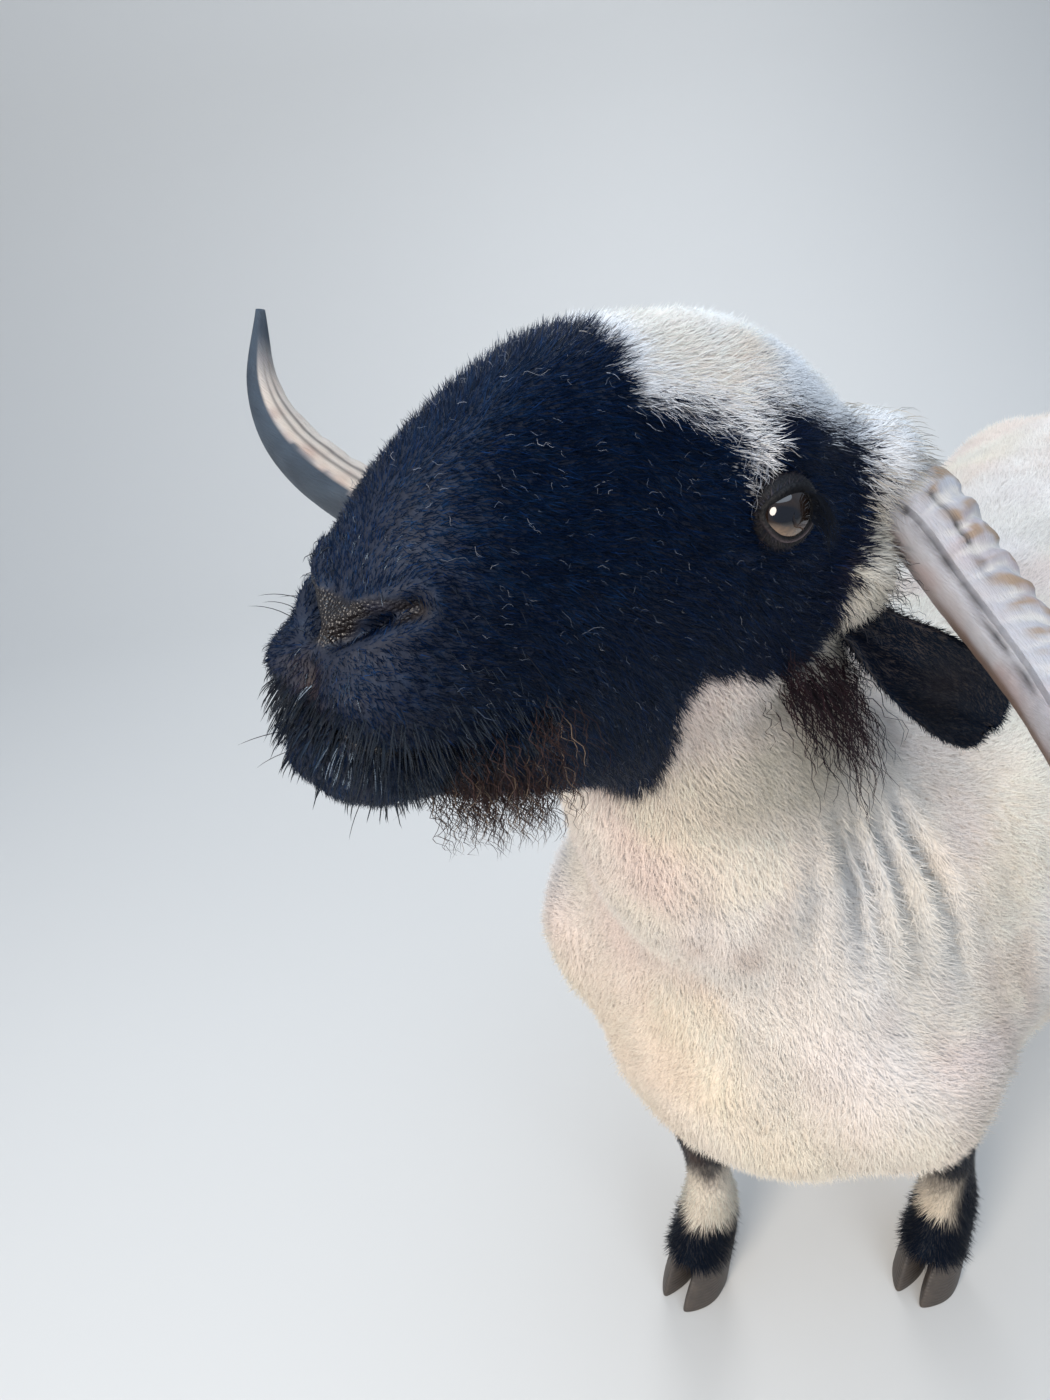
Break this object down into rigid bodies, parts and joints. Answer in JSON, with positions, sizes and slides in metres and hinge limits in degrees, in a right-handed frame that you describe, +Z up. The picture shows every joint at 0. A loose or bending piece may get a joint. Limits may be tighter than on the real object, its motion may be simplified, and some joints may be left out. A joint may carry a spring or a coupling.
{
  "type": "valais blacknose sheep",
  "caption": "Life-size standing sheep with a black face, raised head, wide spiral horns and a short shorn pale fleece.",
  "frame": {"origin": "on the floor, under the middle of the whole animal's box", "axes": "+Z up, the animal faces -Y and its left side is +X"},
  "size_m": [0.6766, 1.1978, 1.0401],
  "materials": {
    "face_coat": "dense short plush hair, black on the face, tan to white on the forehead",
    "short_coat": "short black hair",
    "fleece": "freshly shorn cream fleece with a pinkish skin showing through",
    "leg_coat": "short pale hair with black knee patches, hocks and feet",
    "horn": "ridged horn, cream and tan with dark grey streaks and tips",
    "hoof": "dark grey horn with fine growth lines",
    "eye": "wet dark brown eye with a wide level pupil"
  },
  "bodies": {
    "root": {"claw_fore_left_inner": "hoof", "claw_fore_left_outer": "hoof", "claw_fore_right_inner": "hoof", "claw_fore_right_outer": "hoof", "claw_hind_left_inner": "hoof", "claw_hind_left_outer": "hoof", "claw_hind_right_inner": "hoof", "claw_hind_right_outer": "hoof", "ear_left": "short_coat", "ear_right": "short_coat", "eye_left": "eye", "eye_right": "eye", "foreleg_left": "leg_coat", "foreleg_right": "leg_coat", "head": "face_coat", "hindleg_left": "leg_coat", "hindleg_right": "leg_coat", "horn_left": "horn", "horn_right": "horn", "neck": "fleece", "tail": "fleece", "torso": "fleece"}
  },
  "joints": []
}
